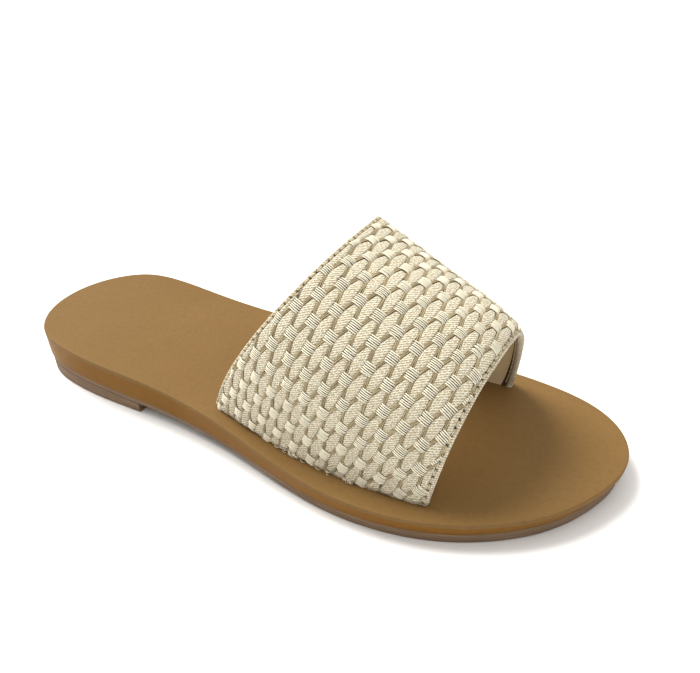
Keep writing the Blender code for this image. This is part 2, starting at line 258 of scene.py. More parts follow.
def smoothLoop(points, steps=40):
    points = np.array(points)
    count = len(points)
    length = np.linalg.norm(np.roll(points, -1, axis=0) - points, axis=1)
    before = np.roll(length, 1)
    matrix = np.zeros((count, count))
    right = np.zeros((count, 2))
    for i in range(count):
        ahead = (points[(i + 1) % count] - points[i]) / length[i]
        behind = (points[i] - points[i - 1]) / before[i]
        matrix[i, i - 1] += before[i]
        matrix[i, i] += 2 * (before[i] + length[i])
        matrix[i, (i + 1) % count] += length[i]
        right[i] = 6 * (ahead - behind)
    bend = np.linalg.solve(matrix, right)
    loop = []
    for i in range(count):
        j = (i + 1) % count
        for t in np.arange(steps) / steps:
            a = 1 - t
            sag = ((a ** 3 - a) * bend[i] + (t ** 3 - t) * bend[j]) * length[i] ** 2 / 6
            loop.append(a * points[i] + t * points[j] + sag)
    return np.array(loop)


def solePlan():
    columns = footbed["outlineColumns"]
    x, inner, outer = (tableColumn(footbed["outline"], columns, name) for name in columns)
    loop = smoothLoop([footbed["heelBack"]] + list(zip(x, inner)) + [footbed["toeTip"]]
                      + list(zip(x, outer))[::-1])
    loop = np.roll(loop, -int(np.argmin(loop[:, 0])), axis=0)
    tangent = np.roll(loop, -1, axis=0) - np.roll(loop, 1, axis=0)
    rim = np.column_stack([loop, unit(np.column_stack([-tangent[:, 1], tangent[:, 0]]))])
    toe = int(np.argmax(loop[:, 0]))
    return rim[:toe + 1], np.vstack([rim[:1], rim[toe:][::-1]])


innerSide, outerSide = solePlan()


def reachesToe(stations):
    return stations[-1] > innerSide[-1, 0] - 0.001


def soleRing(stations, inset, height):
    sides = []
    for side in (innerSide, outerSide):
        sides.append(np.column_stack([np.interp(stations, side[:, 0], side[:, i]) for i in range(4)]))
    hasToe = reachesToe(stations)
    last = len(stations) - 1 if hasToe else len(stations)
    path = np.vstack([sides[0], sides[1][1:last][::-1]])
    x, y = (path[:, :2] - path[:, 2:] * np.broadcast_to(inset(path[:, 0]), len(path))[:, None]).T
    if not hasToe:
        x = np.minimum(x, stations[-1])
    return np.column_stack([x, y, np.broadcast_to(height(x), len(x))])


def capFaces(start, count, hasToe, upwards):
    faces = [(0, 1, count - 1)]
    near, far = 1, count - 1
    while far - near > (2 if hasToe else 1):
        faces.append((near, near + 1, far - 1, far))
        near += 1
        far -= 1
    if hasToe:
        faces.append((near, near + 1, far))
    return [tuple(start + i for i in (face[::-1] if upwards else face)) for face in faces]


def soleLayer(name, stations, levels):
    rings = [soleRing(stations, inset, height) for inset, height in levels]
    count = len(rings[0])
    hasToe = reachesToe(stations)
    faces = capFaces(0, count, hasToe, True)
    for k in range(len(rings) - 1):
        for i in range(count):
            j = (i + 1) % count
            faces.append((k * count + i, (k + 1) * count + i, (k + 1) * count + j, k * count + j))
    faces += capFaces((len(rings) - 1) * count, count, hasToe, False)
    return meshPiece(name, np.vstack(rings), faces)


def spread(first, last, count, bothEnds):
    turn = math.pi if bothEnds else math.pi / 2
    share = 1 - np.cos(turn * np.arange(count + 1) / count)
    return first + (last - first) * share / share[-1]


def level(heightName, below=0.0, leanShare=0.0, extra=0.0):
    # one ring of a layer: how far in from the outline, and how high
    return (lambda x: leanShare * alongShoe("leanIn", x) + extra,
            lambda x: alongShoe(heightName, x) - below)


def buildSole():
    whole = spread(innerSide[0, 0], innerSide[-1, 0], footbed["stations"], True)
    heel = spread(innerSide[0, 0], footbed["breast"], footbed["heelStations"], False)
    rim, edge, cap = footbed["rim"], footbed["rubberEdge"], footbed["capInset"]
    step, cover = footbed["rubberStep"], footbed["cover"]
    under = cover + footbed["overCover"]
    foot = step + 0.2
    rounding = [level("top", rim * (1 - math.cos(a)), extra=rim * (1 - math.sin(a)))
                for a in np.radians((0, 22, 45, 67, 90))]
    insole = soleLayer("insole_cover", whole, [level("top", extra=rim + 1.4)] + rounding + [
        level("top", cover, 0.10)])
    midsole = soleLayer("midsole_body", whole, [
        level("top", under, extra=cap),
        level("top", under, 0.10, 0.02),
        level("top", cover + 1.0, 0.22),
        level("rubber", -1.2, 0.88),
        level("rubber", -0.25, 1.0),
        level("rubber", -0.03, 1.0, 0.22),
        level("rubber", -0.03, 1.0, cap)])
    outsole = soleLayer("outsole_sheet", whole, [
        level("rubber", 0.0, 1.0, cap),
        level("rubber", 0.0, 1.0, step + 0.12),
        level("rubber", 0.15, 1.0, step),
        level("underside", -edge, 1.0, foot),
        level("underside", -edge * 0.3, 1.0, foot + edge * 0.3),
        level("underside", 0.0, 1.0, foot + edge),
        level("underside", 0.0, 1.0, footbed["floorInset"])])

    def onFloor(rise, extra):
        inset, _ = level("underside", 0, 1.0, foot + extra)
        return inset, lambda x: np.full(np.shape(x), rise)

    heelStep = footbed["heelStep"]
    lift = soleLayer("heel_lift_block", heel, [
        level("underside", 0.02, 1.0, cap),
        level("underside", 0.02, 1.0, step + 0.3),
        level("underside", 0.2, 1.0, foot),
        onFloor(edge, heelStep),
        onFloor(edge * 0.3, heelStep + edge * 0.3),
        onFloor(0.0, heelStep + edge),
        onFloor(0.0, footbed["floorInset"])])
    return insole, midsole, outsole, lift


leather = {
    "top": {"color": (0.241, 0.149, 0.058), "deep": (0.200, 0.119, 0.042),
            "pebble": 1500.0, "depth": 0.00020, "roughness": 0.50},
    "side": {"color": (0.246, 0.120, 0.017), "deep": (0.190, 0.086, 0.012),
             "pebble": 1100.0, "depth": 0.00006, "roughness": 0.45},
    "shine": 0.12, "cloud": 26.0, "clouds": 0.35, "pores": 0.45, "roughSpread": 0.12,
}


def tanMaterial(name, hide):
    material, tree, shader = newMaterial(name, hide["roughness"], specular=leather["shine"])
    place = put(tree, "ShaderNodeTexCoord").outputs["Object"]
    grain = groupNode(tree, hideGrain,
                      {"Vector": place, "Pebble": hide["pebble"], "Cloud": leather["cloud"]})
    cloudy = calc(tree, "MULTIPLY", grain.outputs["Clouds"], leather["clouds"])
    # the low creases painted darker, as shade, towards the deep colour
    pores = calc(tree, "MULTIPLY", grain.outputs["Pores"], leather["pores"])
    base = mixColor(tree, cloudy, hide["color"], hide["deep"])
    tree.links.new(mixColor(tree, pores, base, hide["deep"]), shader.inputs["Base Color"])
    spreadRough = calc(tree, "MULTIPLY", grain.outputs["Clouds"], leather["roughSpread"])
    rough = calc(tree, "ADD", hide["roughness"] - leather["roughSpread"] / 2, spreadRough)
    tree.links.new(rough, shader.inputs["Roughness"])
    bump(tree, shader, grain.outputs["Height"], hide["depth"], 0.6)
    return material


rubber = {
    "color": (0.218, 0.150, 0.096), "pale": (0.29, 0.208, 0.142), "deep": (0.160, 0.106, 0.065),
    "pebble": 900.0, "cloud": 60.0, "streaks": (60.0, 60.0, 1400.0), "depth": 0.00008,
    "roughness": 0.6, "shine": 0.15,
}


def rubberMaterial():
    material, tree, shader = newMaterial("taupe_rubber", rubber["roughness"], specular=rubber["shine"])
    place = put(tree, "ShaderNodeTexCoord").outputs["Object"]
    grain = groupNode(tree, hideGrain,
                      {"Vector": place, "Pebble": rubber["pebble"], "Cloud": rubber["cloud"]})
    streak = put(tree, "ShaderNodeMapping", {"Vector": place, "Scale": rubber["streaks"]})
    lines = put(tree, "ShaderNodeTexNoise", {"Vector": streak.outputs[0], "Scale": 1.0, "Detail": 3.0})
    tone = mixColor(tree, ramp(tree, lines.outputs["Fac"], 0.35, 0.7), rubber["color"], rubber["pale"])
    deep = calc(tree, "MULTIPLY", grain.outputs["Clouds"], 0.3)
    tree.links.new(mixColor(tree, deep, tone, rubber["deep"]), shader.inputs["Base Color"])
    rough = calc(tree, "ADD", grain.outputs["Height"], lines.outputs["Fac"])
    bump(tree, shader, rough, rubber["depth"], 0.5)
    return material


insole, midsole, outsole, lift = buildSole()
insole.data.materials.append(tanMaterial("footbed_leather", leather["top"]))
midsole.data.materials.append(tanMaterial("side_leather", leather["side"]))
taupe = rubberMaterial()
outsole.data.materials.append(taupe)
lift.data.materials.append(taupe)
for piece, node, finish in ((insole, "insole", "footbed_cover"), (midsole, "midsole", "footbed_side"),
                            (outsole, "outsole", "sole_rubber"), (lift, "heel_lift", "heel_rubber")):
    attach(piece, "root")
    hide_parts(node)
print("sole made")


# the band's surface, the same two edges as the frame's wall

band = {
    "columns": ("outerX", "outerY", "innerX", "innerY",
                "rise", "crownShift", "lean", "squareOuter", "squareInner", "curl", "bulge"),
    "back": (111.4, -35.2, 108.5, 29.8, 63.6, 16.0, 0.667, 3.5, 3.1, 1.24, 3.0),
    "front": (199.6, -39.4, 201.8, 38.8, 40.3, 6.2, 0.21, 2.5, 1.62, 1.0, 0.0),
    "bulgeOuter": 4.3, "bulgeInner": 1.1, "bow": 3.8, "bowForward": 0.44,
    "wall": 2.7,
    "footDepth": 1.2,  # how far the cloth goes down into the footbed
    "meanWidth": 82.0,
}
weave = {
    "pitch": 3.91,  # from strip to strip, the same all over the cloth
    "middle": -10.8,  # strip 0 from the band's middle line, towards the back
    "period": 14.41, "phase": -30.8,  # along a strip from bar to bar, and a bar's place on strip 0
    "barLength": 3.85,
    "skewPlace": -75.0, "skewRate": 0.0018, "skewMiddle": 4.1,  # rows lean more to the inner side
    "groove": -0.60, "puff": 0.26, "underBar": -0.45,
    "shoulder": 0.28,  # share of a pad's half length at full width
    "square": 4.5, "tipDrop": 0.25,  # how flat its top is, and how much lower its tips
    "barRound": 0.4,  # how far the cloth under a bar falls off to the strip's sides
    "backFull": 0.51, "frontFull": 0.60,  # sides of a pad's middle, in strip widths
    "backTip": -0.24, "frontTip": 0.37,  # sides of its tips
    "backShadeEdge": 0.80, "frontShadeEdge": 0.91,  # where its sides start to be painted dark as groove shade
    "backStitch": 1.5, "frontStitch": 1.9,  # from the band's edges
}


def edgeArch(edge, t):
    size = dict(zip(band["columns"], edge))
    y = size["outerY"] + (size["innerY"] - size["outerY"]) * (1 - np.cos(math.pi * t)) / 2
    crown = (size["outerY"] + size["innerY"]) / 2 + size["crownShift"]
    outside = y < crown
    reach = np.where(outside, crown - y, y - crown)
    reach = reach / np.where(outside, crown - size["outerY"], size["innerY"] - crown)
    square = np.where(outside, size["squareOuter"], size["squareInner"])
    climb = np.clip(1 - np.clip(reach, 0, 1) ** square, 0, 1) ** (1 / square)
    share = (y - size["outerY"]) / (size["innerY"] - size["outerY"])
    footX = size["outerX"] + (size["innerX"] - size["outerX"]) * share
    side = y - size["bulge"] * np.sin(math.pi * climb) * outside
    return footX, side, size["rise"] * climb, size["lean"] * size["rise"] * climb ** size["curl"]


def bandArch(u, t):
    backX, backY, backRise, backLean = edgeArch(band["back"], t)
    frontX, frontY, frontRise, frontLean = edgeArch(band["front"], t)
    swell = (4 * u * (1 - u)) ** 0.8
    footX = backX * (1 - u) + frontX * u
    bow = band["bow"] * swell * 2 * u * np.sin(math.pi * t ** 1.14)
    rise = backRise * (1 - u) + frontRise * u + bow
    side = (1 + np.cos(math.pi * t)) / 2
    y = backY * (1 - u) + frontY * u
    y = y + swell * (band["bulgeInner"] * (1 - side) - band["bulgeOuter"] * side)
    x = footX + backLean * (1 - u) + frontLean * u + band["bowForward"] * bow
    return np.column_stack([x, y, alongShoe("top", footX) + rise])


def bandTable(widths=101, lengths=401):
    # points, normals and half arch length on an even grid of width share and arch share
    spots = np.zeros((widths, lengths, 3))
    half = np.zeros(widths)
    fine = np.linspace(0, 1, 1201)
    for i, u in enumerate(np.linspace(0, 1, widths)):
        arch = bandArch(u, fine)
        run = np.r_[0, np.cumsum(np.linalg.norm(np.diff(arch, axis=0), axis=1))]
        half[i] = run[-1] / 2
        even = np.linspace(0, run[-1], lengths)
        spots[i] = np.column_stack([np.interp(even, run, arch[:, k]) for k in range(3)])
    acrossStep = np.gradient(spots, axis=0)
    archStep = np.gradient(spots, axis=1)
    normal = unit(np.cross(acrossStep, archStep))
    if normal[widths // 2, lengths // 2, 2] < 0:
        normal = -normal
    return spots, normal, half


bandSpots, bandNormals, bandHalf = bandTable()


def halfArch(u):
    return np.interp(np.clip(u, 0, 1), np.linspace(0, 1, len(bandHalf)), bandHalf)


def sampleTable(table, u, share):
    a = np.clip(u, 0, 1) * (table.shape[0] - 1)
    b = (np.clip(share, -1, 1) + 1) / 2 * (table.shape[1] - 1)
    i = np.minimum(a.astype(int), table.shape[0] - 2)
    j = np.minimum(b.astype(int), table.shape[1] - 2)
    fa, fb = (a - i)[..., None], (b - j)[..., None]
    return ((table[i, j] * (1 - fb) + table[i, j + 1] * fb) * (1 - fa)
            + (table[i + 1, j] * (1 - fb) + table[i + 1, j + 1] * fb) * fa)


def onBand(u, place, lift=0.0):
    # u: share of the width from the back edge; place: mm along the arch from its middle,
    # negative to the outer side; lift: mm off the hem's face
    u, place, lift = np.broadcast_arrays(np.asarray(u, float), np.asarray(place, float),
                                         np.asarray(lift, float))
    half = halfArch(u)
    share = place / half
    normal = unit(sampleTable(bandNormals, u, share))
    spot = sampleTable(bandSpots, u, share) + normal * lift[..., None]
    spot[..., 2] -= np.maximum(np.abs(place) - half, 0)
    return spot, normal


def waver(u, place, seed, size):
    # smooth repeatable unevenness from a few crossed waves, between -1 and 1
    x, y = u * band["meanWidth"] / size, place / size
    total = 0
    for k in range(4):
        a = seed * 1.7 + k * 2.4
        total = total + np.sin(x * math.cos(a) * 3.1 + y * math.sin(a) * 3.1 + a * 5 + k)
    return total / 4


def bandWidths():
    # length across the band at each place along its arches
    places = np.arange(-96, 97, 2.0)
    shares = np.linspace(0, 1, 101)
    widths = [np.linalg.norm(np.diff(onBand(shares, place)[0], axis=0), axis=1).sum() for place in places]
    return places, np.array(widths)


widthPlaces, widthValues = bandWidths()


def bandWidth(place):
    return np.interp(place, widthPlaces, widthValues)


def shareOf(strip, place):
    # the share of the width at a strip, counted in strip widths
    return 0.5 + (weave["middle"] + weave["pitch"] * strip) / bandWidth(place)


def leanOf(strip, place):
    # how far the rows of bars are shifted along the arch at a strip
    slant = weave["skewRate"] * np.clip(place - weave["skewPlace"], 10, 95)
    return slant * (weave["skewMiddle"] - weave["middle"] - weave["pitch"] * strip)


def weavePlace(u, place):
    # the strip's number, how far across it in strip widths, and mm along from its nearest bar
    across = ((u - 0.5) * bandWidth(place) - weave["middle"]) / weave["pitch"]
    strip = np.round(across)
    turn = (place - leanOf(strip, place) - weave["phase"]) / weave["period"]
    turn = turn + np.where(np.mod(strip, 2) > 0.5, 0.5, 0.0)
    along = (np.mod(turn + 0.5, 1) - 0.5) * weave["period"]
    return strip, across - strip, along


def weaveLift(u, place):
    # height of the cloth under the yarn floats, and how much painted shade each point gets in a groove or
    # under a bar
    strip, across, along = weavePlace(u, place)
    padHalf = (weave["period"] - weave["barLength"]) / 2
    fromPad = weave["period"] / 2 - np.abs(along)
    q = np.clip(fromPad / padHalf, 0, 1)
    slope = np.clip((q - weave["shoulder"]) / (1 - weave["shoulder"]), 0, 1)
    back = -weave["backFull"] + (weave["backFull"] + weave["backTip"]) * slope
    front = weave["frontFull"] - (weave["frontFull"] - weave["frontTip"]) * slope
    x = (across - (back + front) / 2) / ((front - back) / 2)
    dome = np.sqrt(np.clip(1 - np.abs(x) ** weave["square"], 0, 1))
    arch = 1 - weave["tipDrop"] * q ** 3
    pad = weave["groove"] + (weave["puff"] - weave["groove"]) * dome * arch
    underBar = np.clip((fromPad - padHalf + 0.15) / 0.6, 0, 1)
    flat = weave["underBar"] - weave["barRound"] * (2 * np.abs(across)) ** 4
    lift = pad * (1 - underBar) + flat * underBar
    # past these edges, and under the bars, the cloth is painted dark as shade
    edge = np.where(x < 0, weave["backShadeEdge"], weave["frontShadeEdge"])
    groove = np.clip((np.abs(x) - edge) / (1 - edge), 0, 1)
    return lift, np.maximum(groove, np.clip((fromPad - padHalf - 0.1) / 0.4, 0, 1))


hem = {
    "turnIn": 0.047, "foldSink": 0.12,  # the fold inside: share of the width, mm off the wall
    "hidden": 0.05, "hiddenLift": 0.4,  # the cloth's inner side under the lining
    "flat": 0.06, "roll": 0.26, "rollPlace": 0.85, "rollWidth": 0.45,  # swollen outside the stitches
    "blend": 0.5, "fade": 1.3,  # from plain cloth to the weave, and to its full depth
    "footFade": 3.2, "tuck": 0.35, "tuckPlace": 2.2, "tuckWidth": 1.6, "footEnd": 0.9,
}
stitch = {
    "pitch": 2.9, "length": 2.2, "radius": 0.24, "crown": 0.2,
    "yarns": 1, "spacing": 0.0, "flatness": 2.4, "jitter": 0.05, "segments": 7, "seed": 2,
    "halfStep": 0.8, "sink": -0.22, "prick": 0.8,  # mm under the hem's face
    "pull": 0.55, "holeAcross": 0.42, "holeAlong": 0.52,
}


def clothLines():
    # closed path round the wall's section: (share of width, fixed lift, kind)
    wall = band["wall"]
    roundShare = wall / 2 / band["meanWidth"]
    lines = [(u, -wall - hem["foldSink"], "fold") for u in np.linspace(hem["turnIn"], roundShare, 5)[:-1]]
    for a in np.linspace(-90, 90, 11):
        r = math.radians(a)
        rise = (wall / 2 + hem["flat"]) * math.sin(r)
        lines.append((roundShare * (1 - math.cos(r)), -wall / 2 + rise, "edge"))
    face = [(u, 0.0, "weave") for u in np.linspace(roundShare, 1 - roundShare, 204)[1:-1]]
    back = [(1 - u, lift, kind) for u, lift, kind in lines][::-1]
    inside = [(u, -wall + hem["hiddenLift"], "hidden")
              for u in np.linspace(1 - hem["hidden"], hem["hidden"], 9)]
    return lines + face + back + inside


def stitchShare(side, place):
    if side == "back":
        return weave["backStitch"] / bandWidth(place)
    return 1 - weave["frontStitch"] / bandWidth(place)


def wallFaces(count, rows):
    # quads round a closed section and along the band, with a face on each end
    index = np.arange(count * rows).reshape(count, rows)
    ahead = np.roll(index, -1, axis=0)
    quads = np.stack([index[:, :-1], ahead[:, :-1], ahead[:, 1:], index[:, 1:]], axis=-1).reshape(-1, 4)
    return quads.tolist() + [tuple(index[:, 0].tolist()), tuple(index[::-1, -1].tolist())]


def gauss(distance, width):
    return np.exp(-(distance / width) ** 2)


def buildCloth():
    lines = clothLines()
    shares = np.linspace(-1, 1, 401)
    count, rows = len(lines), len(shares)
    u = np.array([line[0] for line in lines])
    half = halfArch(u)
    place = half[:, None] * shares[None, :]
    uu = np.repeat(u[:, None], rows, axis=1)
    width = bandWidth(place)
    kind = np.array([line[2] for line in lines])
    fixed = np.array([line[1] for line in lines])[:, None]
    woven = (kind == "weave")[:, None]
    lift, groove = weaveLift(uu, place)

    # the turned-in hems are plain cloth as far as the stitch line
    inHem = np.minimum(uu - stitchShare("back", place), stitchShare("front", place) - uu) * width
    plain = np.clip(1 - inHem / hem["blend"], 0, 1) * woven
    roll = hem["flat"] + hem["roll"] * gauss(inHem + hem["rollPlace"], hem["rollWidth"])
    nearHem = gauss(np.maximum(inHem, 0), hem["fade"])
    lift = np.maximum(lift, weave["groove"] + (0.05 - weave["groove"]) * 0.8 * nearHem)
    lift = np.where(woven, lift * (1 - plain) + roll * plain, fixed)
    # the hems lose their painted groove shade, and inside, the fold is painted dark as shade from 1.8 mm
    # off the edge to where it meets the lining
    seam = ((kind == "fold")[:, None]) * np.clip((np.minimum(uu, 1 - uu) * width - 1.8) / 0.5, 0, 1)
    groove = np.where(woven, groove * (1 - plain) * (1 - 0.6 * nearHem), seam)

    # shallower grooves, with less painted groove shade, where the cloth turns under at the foot
    fromFoot = half[:, None] - np.abs(place)
    nearFoot = gauss(fromFoot, hem["footFade"]) * woven
    shallow = np.maximum(lift, weave["groove"] * (1 - 0.9 * nearFoot))
    lift = np.where(woven, shallow, lift)
    groove = groove * (1 - 0.85 * nearFoot)

    # the topstitch pulls the hem down and takes its painted groove shade away, with a needle hole between
    # two stitches that is painted dark as shade
    hole = np.zeros_like(lift)
    step = stitch["pitch"]
    nearHole = np.abs(np.mod(place / step + 0.5, 1) - 0.5) * step
    outside = ((kind == "weave") | (kind == "edge"))[:, None] & (fixed > -0.5)
    for side in ("back", "front"):
        off = (uu - stitchShare(side, place)) * width
        pull = gauss(off, stitch["pull"])
        prick = np.exp(-(off / stitch["holeAcross"]) ** 2 - (nearHole / stitch["holeAlong"]) ** 2)
        target = stitch["sink"] - stitch["prick"] * prick
        lift = lift + (target - lift) * pull * outside
        groove = groove * (1 - pull * outside)
        hole = np.maximum(hole, np.clip(1.5 * prick, 0, 1) * outside)

    # soft unevenness everywhere, and a tucked swollen foot where the cloth turns under
    outer = ((kind != "hidden") & (kind != "fold"))[:, None]
    lift = lift + outer * (0.10 * waver(uu, place, 3.0, 9.0) + 0.05 * waver(uu, place, 5.0, 2.6))
    tuck = hem["tuck"] * gauss(fromFoot - hem["tuckPlace"], hem["tuckWidth"])
    tuck = tuck * (1 + 0.6 * waver(uu, place, 7.0, 7.0))
    lift = lift + outer * (tuck - hem["tuck"] * gauss(fromFoot, hem["footEnd"]))
    spots, _ = onBand(uu, place, lift)
    spots = np.concatenate([spots[:, :1], spots, spots[:, -1:]], axis=1)
    spots[:, 0, 2] -= band["footDepth"]
    spots[:, -1, 2] -= band["footDepth"]
    groove, hole, place, uu = (np.concatenate([grid[:, :1], grid, grid[:, -1:]], axis=1)
                               for grid in (groove, hole, place, uu))
    cloth = meshPiece("woven_band", spots.reshape(-1, 3), wallFaces(count, rows + 2), smoothAngle=0)
    mesh = cloth.data
    # masks of painted shade: in the grooves, under the bars, along the inner fold and in the needle holes
    for name, values in (("groove", groove), ("hole", hole)):
        layer = mesh.attributes.new(name, "FLOAT", "POINT")
        layer.data.foreach_set("value", values.reshape(-1).astype(np.float32))
    flat = np.column_stack([((uu - 0.5) * bandWidth(place) / 10).reshape(-1), (place / 10).reshape(-1)])
    corner = np.zeros(len(mesh.loops), dtype=np.int32)
    mesh.loops.foreach_get("vertex_index", corner)
    layer = mesh.uv_layers.new(name="clothRun")
    layer.data.foreach_set("uv", flat[corner].reshape(-1).astype(np.float32))
    return cloth


cotton = {
    # groove and hole are colours of painted shade; puffDeep is the dark end of the grain's painted dip
    # shade, of its random blotches and of the yarns' darker tone
    "puff": (0.905, 0.868, 0.735), "puffDeep": (0.525, 0.450, 0.308), "groove": (0.090, 0.054, 0.020),
    "hole": (0.050, 0.026, 0.010), "bar": (0.900, 0.858, 0.712), "strand": (0.560, 0.465, 0.290),
    "thread": (0.640, 0.545, 0.380),
    "grain": {"Across": 15.0, "Along": 9.0, "Order": 0.55},  # grains on 10 mm of cloth
    "depth": 0.00040,  # of the bump, in metres
    "blotch": 1.3, "blotches": 0.25,
}


def clothMaterial():
    material, tree, shader = newMaterial("woven_cotton", 0.9, sheen=0.15, specular=0.2)
    place = put(tree, "ShaderNodeUVMap", uv_map="clothRun").outputs[0]
    grain = groupNode(tree, clothGrain, {"Vector": place, **cotton["grain"]})
    blotch = put(tree, "ShaderNodeTexNoise", {"Vector": place, "Scale": cotton["blotch"], "Detail": 3.0})
    blotches = calc(tree, "MULTIPLY", blotch.outputs["Fac"], cotton["blotches"])
    # the grain's dips painted darker as shade, then random darker blotches
    bright = mixColor(tree, grain.outputs["Shade"], cotton["puffDeep"], cotton["puff"])
    bright = mixColor(tree, blotches, bright, cotton["puffDeep"])
    # painted shade in the grooves, under the bars and along the inner fold, then in the needle holes
    shadedInGrooves = mixColor(tree, attribute(tree, "groove"), bright, cotton["groove"])
    tone = mixColor(tree, attribute(tree, "hole"), shadedInGrooves, cotton["hole"])
    tree.links.new(tone, shader.inputs["Base Color"])
    bump(tree, shader, grain.outputs["Height"], cotton["depth"], 1.0)
    return material


cloth = buildCloth()
cloth.data.materials.append(clothMaterial())
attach(cloth, "root")
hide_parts("upper_band")
print("cloth made", len(cloth.data.polygons))


# yarns that lie on the cloth: one tree for bars, groove strands and topstitches

def makeYarnTree():
    group = bpy.data.node_groups.new("yarnFloats", "GeometryNodeTree")
    group.is_modifier = True
    ins, outs = socketsOf(group, (
        ("Geometry", "Geometry", None), ("Yarns", "Int", 6), ("Spacing", "Float", 0.0005),
        ("Radius", "Float", 0.00026), ("Crown", "Float", 0.0008), ("Flatness", "Float", 3.0),
        ("Twist", "Float", 0.0), ("Jitter", "Float", 0.06), ("Segments", "Int", 8),
        ("Seed", "Int", 1), ("Material", "Material", None)),
        (("Geometry", "Geometry"),))
    get = ins.outputs

    def chance(low, high, draw):
        # a value for each yarn, with a seed of its own for each draw
        seed = calc(group, "ADD", get["Seed"], draw)
        value = put(group, "FunctionNodeRandomValue", {2: low, 3: high, "Seed": seed}, data_type="FLOAT")
        return value.outputs[1]

    line = put(group, "GeometryNodeCurvePrimitiveLine", {"Start": (-0.5, 0, 0), "End": (0.5, 0, 0)})
    line = put(group, "GeometryNodeResampleCurve", {"Curve": line.outputs[0], "Count": get["Segments"]})
    place = put(group, "GeometryNodeInputPosition").outputs[0]
    apart = put(group, "ShaderNodeSeparateXYZ", {0: place})
    away = calc(group, "MULTIPLY", calc(group, "ABSOLUTE", apart.outputs[0]), 2.0)
    drop = calc(group, "POWER", away, get["Flatness"])
    rise = calc(group, "MULTIPLY", calc(group, "SUBTRACT", 1.0, drop), get["Crown"])
    lifted = put(group, "ShaderNodeCombineXYZ", {2: rise})
    line = put(group, "GeometryNodeSetPosition", {"Geometry": line.outputs[0], "Offset": lifted.outputs[0]})
    ring = put(group, "GeometryNodeCurvePrimitiveCircle", {"Resolution": 6, "Radius": get["Radius"]})
    tube = put(group, "GeometryNodeCurveToMesh",
               {"Curve": line.outputs[0], "Profile Curve": ring.outputs[0], "Fill Caps": True})

    points = put(group, "GeometryNodeMeshToPoints", {"Mesh": get["Geometry"]})
    copies = put(group, "GeometryNodeDuplicateElements",
                 {"Geometry": points.outputs[0], "Amount": get["Yarns"]}, domain="POINT")
    out = put(group, "GeometryNodeInputNamedAttribute", {"Name": "outDir"}, data_type="FLOAT_VECTOR")
    run = put(group, "GeometryNodeInputNamedAttribute", {"Name": "runDir"}, data_type="FLOAT_VECTOR")
    long = put(group, "GeometryNodeInputNamedAttribute", {"Name": "runLength"}, data_type="FLOAT")
    side = put(group, "ShaderNodeVectorMath", {0: out.outputs[0], 1: run.outputs[0]},
               operation="CROSS_PRODUCT")
    side = put(group, "ShaderNodeVectorMath", {0: side.outputs[0]}, operation="NORMALIZE")
    middle = calc(group, "DIVIDE", calc(group, "SUBTRACT", get["Yarns"], 1.0), 2.0)
    order = calc(group, "SUBTRACT", copies.outputs["Duplicate Index"], middle)
    order = calc(group, "ADD", order, calc(group, "MULTIPLY", chance(-1.0, 1.0, 0.0), get["Jitter"]))
    apartBy = calc(group, "MULTIPLY", order, get["Spacing"])
    shift = put(group, "ShaderNodeVectorMath", {0: side.outputs[0], "Scale": apartBy}, operation="SCALE")
    moved = put(group, "GeometryNodeSetPosition",
                {"Geometry": copies.outputs[0], "Offset": shift.outputs[0]})
    turn = put(group, "FunctionNodeAxesToRotation",
               {"Primary Axis": out.outputs[0], "Secondary Axis": run.outputs[0]},
               primary_axis="Z", secondary_axis="X")
    swing = calc(group, "ADD", calc(group, "MULTIPLY", chance(-1.0, 1.0, 7.0), get["Jitter"]),
                 calc(group, "MULTIPLY", order, get["Twist"]))
    swing = put(group, "ShaderNodeCombineXYZ", {2: swing})
    spin = put(group, "FunctionNodeEulerToRotation", {0: swing.outputs[0]})
    turn = put(group, "FunctionNodeRotateRotation",
               {"Rotation": turn.outputs[0], "Rotate By": spin.outputs[0]}, rotation_space="LOCAL")
    grow = chance(0.94, 1.06, 13.0)
    size = put(group, "ShaderNodeCombineXYZ",
               {0: calc(group, "MULTIPLY", long.outputs[0], grow), 1: 1.0, 2: grow})
    laid = put(group, "GeometryNodeInstanceOnPoints",
               {"Points": moved.outputs[0], "Instance": tube.outputs[0],
                "Rotation": turn.outputs[0], "Scale": size.outputs[0]})
    toned = put(group, "GeometryNodeStoreNamedAttribute",
                {"Geometry": laid.outputs[0], "Name": "yarnTone", "Value": chance(0.0, 1.0, 21.0)},
                data_type="FLOAT", domain="INSTANCE")
    solid = put(group, "GeometryNodeRealizeInstances", {0: toned.outputs[0]})
    smooth = put(group, "GeometryNodeSetShadeSmooth", {0: solid.outputs[0]})
    dressed = put(group, "GeometryNodeSetMaterial", {0: smooth.outputs[0], "Material": get["Material"]})
    group.links.new(dressed.outputs[0], outs.inputs[0])
    return group


yarnTree = makeYarnTree()


